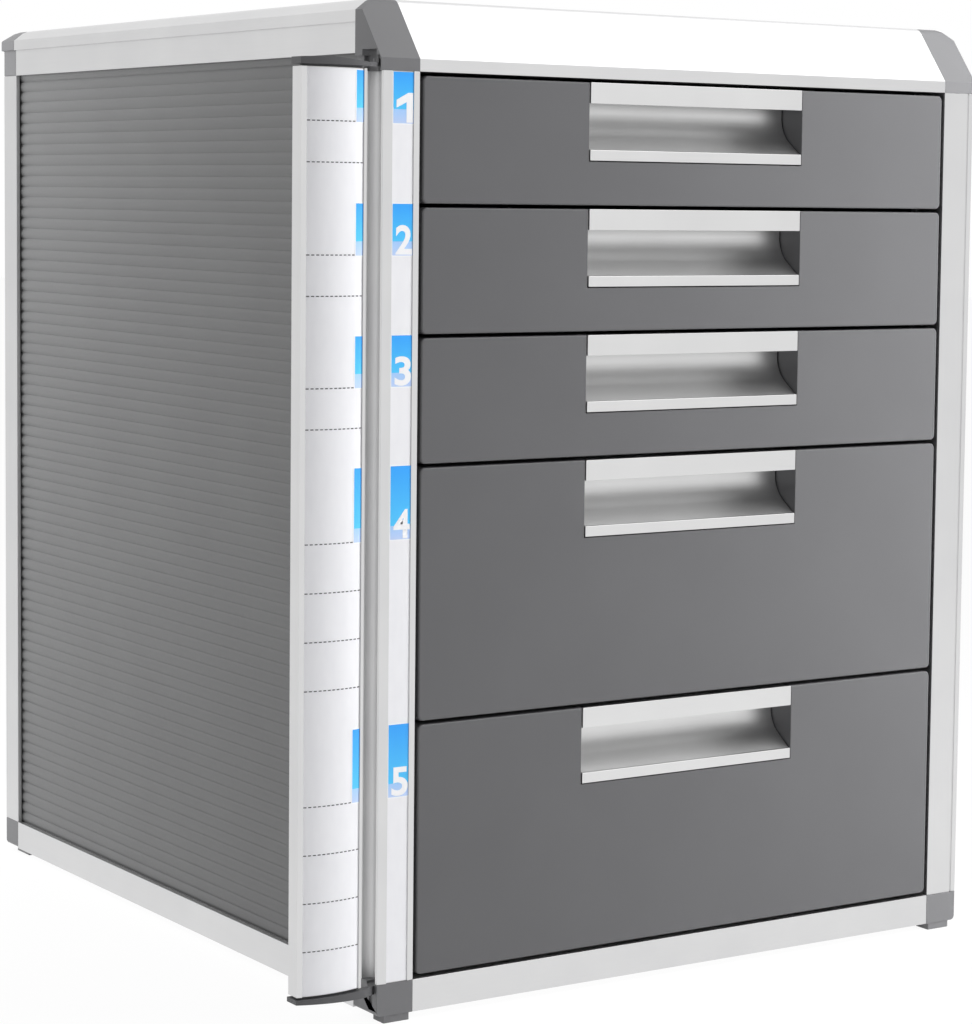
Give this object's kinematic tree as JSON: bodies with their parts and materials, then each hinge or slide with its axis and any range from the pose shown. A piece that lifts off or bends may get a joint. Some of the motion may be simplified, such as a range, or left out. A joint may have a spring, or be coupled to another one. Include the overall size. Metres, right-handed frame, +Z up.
{
  "type": "small drawer cabinet",
  "caption": "Desktop drawer cabinet with an aluminium frame, plastic corners, ribbed sides, sliding drawers with recessed pulls, and a hinged index flap.",
  "frame": {"origin": "on the floor, at the middle of the outline seen from above with the index flap open as stored", "axes": "+X to the right along the drawer fronts, +Y from the fronts to the back, +Z up"},
  "size_m": [0.3374, 0.3651, 0.4],
  "materials": {
    "aluminium_extrusion": "satin anodised",
    "pull_aluminium": "satin anodised",
    "corner_plastic": "fine satin",
    "arm_plastic": "satin",
    "drawer_front_plastic": "fine satin",
    "ribbed_side_sheet": "ribbed satin",
    "flat_sheet": "satin paint",
    "runner_plastic": "matt",
    "tray_plastic": "matt",
    "printed_card": "smooth print",
    "screw_steel": "plain"
  },
  "bodies": {
    "cabinet": {"post_front_left": "aluminium_extrusion", "post_front_right": "aluminium_extrusion", "post_back_left": "aluminium_extrusion", "post_back_right": "aluminium_extrusion", "base_rail_front": "aluminium_extrusion", "base_rail_back": "aluminium_extrusion", "base_rail_left": "aluminium_extrusion", "base_rail_right": "aluminium_extrusion", "top_rail_front": "aluminium_extrusion", "top_rail_back": "aluminium_extrusion", "top_rail_left": "aluminium_extrusion", "top_rail_right": "aluminium_extrusion", "top_cap_front_left": "corner_plastic", "top_cap_front_right": "corner_plastic", "top_cap_back_left": "corner_plastic", "top_cap_back_right": "corner_plastic", "foot_front_left": "corner_plastic", "foot_front_right": "corner_plastic", "foot_back_left": "corner_plastic", "foot_back_right": "corner_plastic", "side_panel_left": "ribbed_side_sheet", "side_panel_right": "ribbed_side_sheet", "top_panel": "flat_sheet", "bottom_panel": "flat_sheet", "back_panel": "flat_sheet", "runner_board_left": "runner_plastic", "runner_board_right": "runner_plastic", "runner_board_screws": "screw_steel", "number_strip": "printed_card"},
    "index_flap": {"index_flap_profile": "aluminium_extrusion", "index_flap_card": "printed_card", "index_flap_upper_arm": "arm_plastic", "index_flap_lower_arm": "arm_plastic"},
    "drawer_1": {"drawer_1_front": "drawer_front_plastic", "drawer_1_pull": "pull_aluminium", "drawer_1_tray": "tray_plastic", "drawer_1_screws": "screw_steel"},
    "drawer_2": {"drawer_2_front": "drawer_front_plastic", "drawer_2_pull": "pull_aluminium", "drawer_2_tray": "tray_plastic", "drawer_2_screws": "screw_steel"},
    "drawer_3": {"drawer_3_front": "drawer_front_plastic", "drawer_3_pull": "pull_aluminium", "drawer_3_tray": "tray_plastic", "drawer_3_screws": "screw_steel"},
    "drawer_4": {"drawer_4_front": "drawer_front_plastic", "drawer_4_pull": "pull_aluminium", "drawer_4_tray": "tray_plastic", "drawer_4_screws": "screw_steel"},
    "drawer_5": {"drawer_5_front": "drawer_front_plastic", "drawer_5_pull": "pull_aluminium", "drawer_5_tray": "tray_plastic", "drawer_5_screws": "screw_steel"}
  },
  "joints": [
    {"name": "drawer_1_slide", "type": "slide", "parent": "cabinet", "child": "drawer_1", "axis": [0, -1, 0], "range_m": [0, 0.25]},
    {"name": "drawer_2_slide", "type": "slide", "parent": "cabinet", "child": "drawer_2", "axis": [0, -1, 0], "range_m": [0, 0.25]},
    {"name": "drawer_3_slide", "type": "slide", "parent": "cabinet", "child": "drawer_3", "axis": [0, -1, 0], "range_m": [0, 0.25]},
    {"name": "drawer_4_slide", "type": "slide", "parent": "cabinet", "child": "drawer_4", "axis": [0, -1, 0], "range_m": [0, 0.25]},
    {"name": "drawer_5_slide", "type": "slide", "parent": "cabinet", "child": "drawer_5", "axis": [0, -1, 0], "range_m": [0, 0.25]},
    {"name": "index_flap_swing", "type": "hinge", "parent": "cabinet", "child": "index_flap", "pos_m": [-0.13055, -0.17465, 0.19], "axis": [0, 0, -1], "range_deg": [0, 83]}
  ]
}
